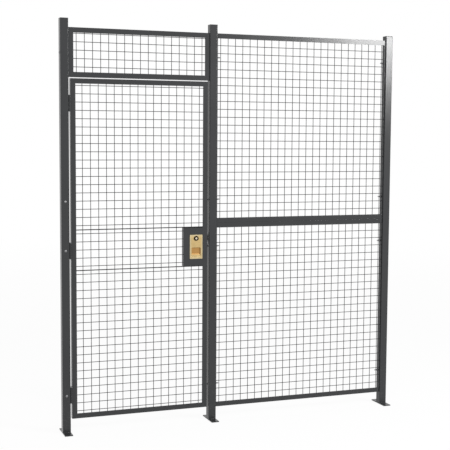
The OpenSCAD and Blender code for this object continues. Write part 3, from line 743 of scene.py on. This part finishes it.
def floor_depth(z):
    """How deep the floor of the cup lies at a height from its middle."""
    slope = cup_depth / (floor_turn + pull_half_h - lip)
    bent = min(max(floor_turn + floor_bend - z, 0), 2 * floor_bend)
    straight = max(floor_turn - floor_bend - z, 0)
    return cup_depth - slope * (bent ** 2 / (4 * floor_bend) + straight)


sheet = bmesh.new()


def add_ring(places, depths, rise):
    """A closed row of vertices at these places and depths, about a height above the plate's middle."""
    return [sheet.verts.new(centre + Vector((x, depth, z + rise))) for (x, z), depth in zip(places, depths)]


# From the face over the lip, down the wall and round to the floor: how far in, and how deep as a
# share of the cup's depth there plus a share of the lip
quarter = [math.radians(22.5 * k) for k in range(5)]
steps = [(lip * math.sin(a), 0, 1 - math.cos(a)) for a in quarter]
steps += [(lip * (2 - math.cos(a)), 1, math.sin(a) - 1) for a in quarter]
bends = [floor_turn + floor_bend * k / 2 for k in (2, 1, 0, -1, -2)]
floor_places = round_ring(pull_half_w - 2 * lip, pull_half_h - 2 * lip, pull_corner - 2 * lip, bends)
floors = [floor_depth(z) for x, z in floor_places]
rings = []
for inset, whole, share in steps:
    places = round_ring(pull_half_w - inset, pull_half_h - inset, pull_corner - inset, bends)
    depths = [whole * depth + share * min(lip, depth / 2) for depth in floors]
    rings.append(add_ring(places, depths, -pull_drop))
for outer, inner in zip(rings, rings[1:]):
    for k in range(len(outer)):
        sheet.faces.new((outer[k - 1], outer[k], inner[k], inner[k - 1]))
bottom = rings[-1]
for k in range(len(bottom) // 2 - 1):
    sheet.faces.new((bottom[k], bottom[k + 1], bottom[-k - 2], bottom[-k - 1]))

rim_places = round_ring(high.x - centre.x, high.z - centre.z, plate_corner)
rim = add_ring(rim_places, [0] * len(rim_places), 0)
hole_angles = [math.tau * k / key_hole_sides for k in range(key_hole_sides)]
hole_places = [(key_hole * math.cos(angle), key_hole * math.sin(angle)) for angle in hole_angles]
hole = add_ring(hole_places, [0] * len(hole_places), key_rise)
loops = [sheet.edges.new((ring[k - 1], ring[k])) for ring in (rim, hole) for k in range(len(ring))]
loops += [sheet.edges.get((rings[0][k - 1], rings[0][k])) for k in range(len(rings[0]))]
bmesh.ops.triangle_fill(sheet, use_beauty=True, edges=loops)
bmesh.ops.remove_doubles(sheet, verts=sheet.verts, dist=1e-6)
bmesh.ops.recalc_face_normals(sheet, faces=sheet.faces)
if sum(face.normal.y * face.calc_area() for face in sheet.faces) > 0:
    bmesh.ops.reverse_faces(sheet, faces=sheet.faces)

# Brushed up and down, and rubbed pale towards the plate's edges. Inside the cup the colour holds
# painted shade for the recess: darker from the lip in, and darker and redder where the cup is deep
brass, place = new_finish("satin_brass")
lines = noise(stretched(place, 1, 1, 0.02), 2600, 3)
cloud = noise(place, 45, 3)
local = place.node("ShaderNodeVectorMath", {"operation": "SUBTRACT"}, {0: place, 1: centre})
side_x, side_z = along(local, "X"), along(local, "Z")
side_x, side_z = (side.math("ABSOLUTE", side) for side in (side_x, side_z))
near_side = side_x.node("ShaderNodeMapRange", {"interpolation_type": "SMOOTHSTEP"}, {
    "Value": side_x, "From Min": rubbed_from_x, "From Max": high.x - centre.x})
near_end = side_z.node("ShaderNodeMapRange", {"interpolation_type": "SMOOTHSTEP"}, {
    "Value": side_z, "From Min": rubbed_from_z, "From Max": high.z - centre.z})
rubbed = near_side.math("MAXIMUM", near_side, near_end) * 0.7
# Painted shade: masks that darken the cup's colour from its lip in, and further where the cup is deep
cup_shade_mask, deep = (
    local.node("ShaderNodeMapRange", {}, {"Value": along(local, "Y"), "From Min": start, "From Max": full})
    for start, full in ((0, cup_shade_full), (deep_shade_start, deep_shade_full)))
tone = lines * 0.1 + cloud * 0.16 + 0.87
face_tone = blended(rubbed, (0.52, 0.38, 0.175, 1), (0.56, 0.49, 0.32, 1))
# Painted shade in the cup: a darker brass from the lip in, then a dark reddish brown where the cup is deep
cup_painted_shade = blended(cup_shade_mask, face_tone, (0.37, 0.275, 0.13, 1))
brass_tone = blended(deep, cup_painted_shade, (0.4, 0.22, 0.075, 1))
surface(brass, {"Metallic": 1}, shaded(brass_tone, tone),
        lines * 0.14 + cloud * 0.1 + 0.24, relief(lines, 0.3, depth=0.0002))

plate = bpy.data.objects.new("plate_source", bpy.data.meshes.new("plate"))
bpy.context.scene.collection.objects.link(plate)
sheet.to_mesh(plate.data)
sheet.free()
plate.data.materials.append(brass)
thick = plate.modifiers.new("thick", "SOLIDIFY")
thick.thickness, thick.offset, thick.use_even_offset = sheet_t, -1, True
ease(plate, sheet_edge)
plain_piece(plate, "face_plate", "door", "satin_brass", "lock_face_plate")


# ---------------------------------------------------------------------------
# Key cylinder and plug. A dark oxidised brass cylinder with a collar on the
# face plate, and the polished plug that the key turns.
# ---------------------------------------------------------------------------
dark_brass = worn_metal("dark_cylinder", (0.02, 0.014, 0.009), roughness=0.34, spangle=0.05, scratch=0.1)
bright_brass = worn_metal("bright_plug", (0.84, 0.74, 0.58), roughness=0.22, spangle=0.04, scratch=0.06)
eased_piece("key_cylinder", "cylinder_body", "dark_cylinder", dark_brass, edge=0.0009)
eased_piece("key_plug", "plug_barrel", "bright_plug", bright_brass, edge=0.00025)


# ---------------------------------------------------------------------------
# Lock case. A plated steel case inside the box with its lid, held by two
# screws through the door's edge; the brass bolt slides through it.
# ---------------------------------------------------------------------------
eased_piece("lock_case", "case_shell", "zinc_steel", zinc, edge=0.0006)
eased_piece("lock_case_lid", "case_lid", "zinc_steel", zinc, edge=0.0005)
set_screws("case", (1, 0, 0))
eased_piece("lock_bolt", "bolt_bar", "satin_brass", brass, edge=0.0009)


# ---------------------------------------------------------------------------
# Turn knob. A cast brass rose and thumb grip on the inside, on the spindle
# that works the bolt.
# ---------------------------------------------------------------------------
eased_piece("turn_knob", "thumb_turn", "satin_brass", brass, edge=0.0015)


# ---------------------------------------------------------------------------
# Strike plate. A steel plate on the middle post, coated with it, with a slot
# for the bolt and two plated countersunk screws.
# ---------------------------------------------------------------------------
eased_piece("strike_plate", "strike_face", "charcoal_coat", coat, edge=0.0005)
set_screws("strike", (-1, 0, 0))
